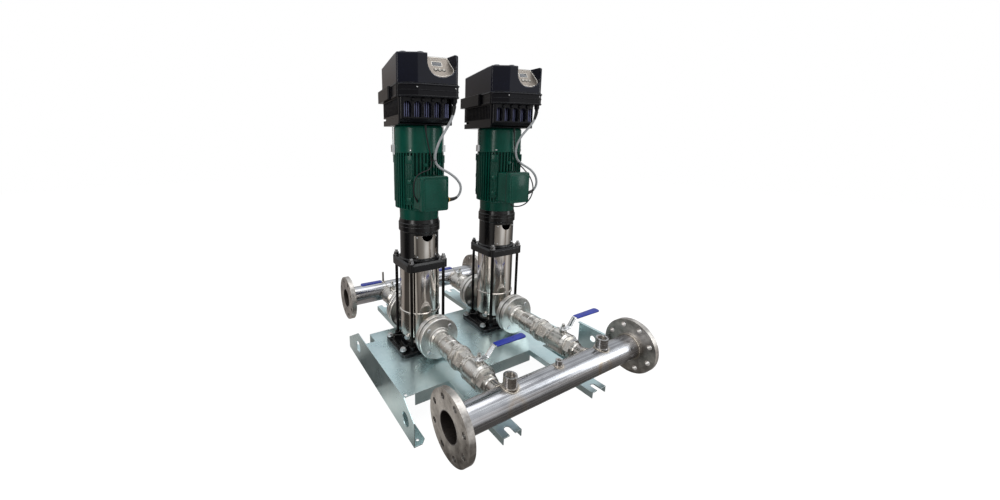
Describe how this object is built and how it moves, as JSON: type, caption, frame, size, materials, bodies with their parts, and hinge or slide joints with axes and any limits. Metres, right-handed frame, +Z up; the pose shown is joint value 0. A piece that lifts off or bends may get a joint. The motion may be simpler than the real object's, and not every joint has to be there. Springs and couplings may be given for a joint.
{
  "type": "booster pump set",
  "caption": "Twin vertical multistage pump booster set with speed inverters, lever valves, check valves and flanged manifolds on a folded sheet base.",
  "frame": {"origin": "floor level, at the centre of the four anchor holes; the pump axes stand at x -0.193 and 0.193, y 0.0175", "axes": "+X along the manifolds, +Y from the discharge side to the suction side, +Z up along the pump axes"},
  "size_m": [0.81, 1.148, 1.243],
  "materials": {
    "galvanised": "spangled zinc",
    "stainless_pipe": "pickled",
    "stainless_flange": "turned",
    "stainless_pressed": "satin",
    "stainless_polished": "polished",
    "cast_black": "black paint",
    "black_steel": "black oxide",
    "zinc_fastener": "zinc plated",
    "plated_valve": "nickel plated",
    "gasket": "matt",
    "green_paint": "satin",
    "shaft_steel": "ground",
    "inverter_black": "fine grain",
    "keypad_grey": "satin",
    "key_plastic": "satin",
    "blue_vinyl": "satin",
    "brass": "plain",
    "grey_cable": "satin",
    "black_cable": "satin"
  },
  "bodies": {
    "set": {"base_frame": "galvanised", "side_bracket": "galvanised", "discharge_manifold": "stainless_pipe", "suction_manifold": "stainless_pipe", "manifold_flanges": "stainless_flange", "pump_feet": "cast_black", "foot_bolts": "zinc_fastener", "volutes": "stainless_pressed", "drain_plugs": "zinc_fastener", "sleeves": "stainless_polished", "stage_chambers": "stainless_pressed", "pump_heads": "cast_black", "tie_rods": "black_steel", "coupling_guards": "stainless_pressed", "fan_covers": "green_paint", "terminal_boxes": "green_paint", "cable_glands": "brass", "cover_clips": "zinc_fastener", "port_flanges": "stainless_flange", "line_flanges": "stainless_flange", "port_gaskets": "gasket", "flange_bolts": "zinc_fastener", "pipe_nipples": "plated_valve", "check_valve_bodies": "plated_valve", "ball_valve_bodies": "plated_valve", "keypad_panels": "keypad_grey", "motor_stool_left": "cast_black", "stator_left": "green_paint", "inverter_base_left": "inverter_black", "inverter_lid_left": "inverter_black", "power_cable_left": "grey_cable", "signal_cable_left": "black_cable", "motor_stool_right": "cast_black", "stator_right": "green_paint", "inverter_base_right": "inverter_black", "inverter_lid_right": "inverter_black", "power_cable_right": "grey_cable", "signal_cable_right": "black_cable"},
    "rotor_left": {"pump_rotor_left": "shaft_steel", "coupling_left": "shaft_steel", "motor_rotor_left": "shaft_steel"},
    "discharge_valve_left": {"discharge_lever_left": "blue_vinyl", "discharge_ball_left": "plated_valve"},
    "suction_valve_left": {"suction_lever_left": "blue_vinyl", "suction_ball_left": "plated_valve"},
    "check_valve_left": {"check_disc_left": "plated_valve"},
    "minus_key_left": {"minus_key_left": "key_plastic"},
    "plus_key_left": {"plus_key_left": "key_plastic"},
    "set_key_left": {"set_key_left": "key_plastic"},
    "rotor_right": {"pump_rotor_right": "shaft_steel", "coupling_right": "shaft_steel", "motor_rotor_right": "shaft_steel"},
    "discharge_valve_right": {"discharge_lever_right": "blue_vinyl", "discharge_ball_right": "plated_valve"},
    "suction_valve_right": {"suction_lever_right": "blue_vinyl", "suction_ball_right": "plated_valve"},
    "check_valve_right": {"check_disc_right": "plated_valve"},
    "minus_key_right": {"minus_key_right": "key_plastic"},
    "plus_key_right": {"plus_key_right": "key_plastic"},
    "set_key_right": {"set_key_right": "key_plastic"}
  },
  "joints": [
    {"name": "rotor_spin_left", "type": "hinge", "parent": "set", "child": "rotor_left", "pos_m": [-0.193, 0.0175, 0.5], "axis": [0, 0, 1], "continuous": true},
    {"name": "discharge_lever_turn_left", "type": "hinge", "parent": "set", "child": "discharge_valve_left", "pos_m": [-0.193, -0.4005, 0.222], "axis": [0, 0, 1], "range_deg": [0, 90]},
    {"name": "suction_lever_turn_left", "type": "hinge", "parent": "set", "child": "suction_valve_left", "pos_m": [-0.193, 0.3135, 0.222], "axis": [0, 0, 1], "range_deg": [0, 90]},
    {"name": "check_disc_lift_left", "type": "slide", "parent": "set", "child": "check_valve_left", "axis": [0, -1, 0], "range_m": [0, 0.012], "stiffness_N_per_m": 300, "springref_m": -0.003},
    {"name": "minus_key_press_left", "type": "slide", "parent": "set", "child": "minus_key_left", "axis": [0.1534, 0.789, -0.595], "range_m": [0, 0.001], "stiffness_N_per_m": 600, "springref_m": -0.0005},
    {"name": "plus_key_press_left", "type": "slide", "parent": "set", "child": "plus_key_left", "axis": [0.1534, 0.789, -0.595], "range_m": [0, 0.001], "stiffness_N_per_m": 600, "springref_m": -0.0005},
    {"name": "set_key_press_left", "type": "slide", "parent": "set", "child": "set_key_left", "axis": [0.1534, 0.789, -0.595], "range_m": [0, 0.001], "stiffness_N_per_m": 600, "springref_m": -0.0005},
    {"name": "rotor_spin_right", "type": "hinge", "parent": "set", "child": "rotor_right", "pos_m": [0.193, 0.0175, 0.5], "axis": [0, 0, 1], "continuous": true},
    {"name": "discharge_lever_turn_right", "type": "hinge", "parent": "set", "child": "discharge_valve_right", "pos_m": [0.193, -0.4005, 0.222], "axis": [0, 0, 1], "range_deg": [0, 90]},
    {"name": "suction_lever_turn_right", "type": "hinge", "parent": "set", "child": "suction_valve_right", "pos_m": [0.193, 0.3135, 0.222], "axis": [0, 0, 1], "range_deg": [0, 90]},
    {"name": "check_disc_lift_right", "type": "slide", "parent": "set", "child": "check_valve_right", "axis": [0, -1, 0], "range_m": [0, 0.012], "stiffness_N_per_m": 300, "springref_m": -0.003},
    {"name": "minus_key_press_right", "type": "slide", "parent": "set", "child": "minus_key_right", "axis": [0.1534, 0.789, -0.595], "range_m": [0, 0.001], "stiffness_N_per_m": 600, "springref_m": -0.0005},
    {"name": "plus_key_press_right", "type": "slide", "parent": "set", "child": "plus_key_right", "axis": [0.1534, 0.789, -0.595], "range_m": [0, 0.001], "stiffness_N_per_m": 600, "springref_m": -0.0005},
    {"name": "set_key_press_right", "type": "slide", "parent": "set", "child": "set_key_right", "axis": [0.1534, 0.789, -0.595], "range_m": [0, 0.001], "stiffness_N_per_m": 600, "springref_m": -0.0005}
  ]
}
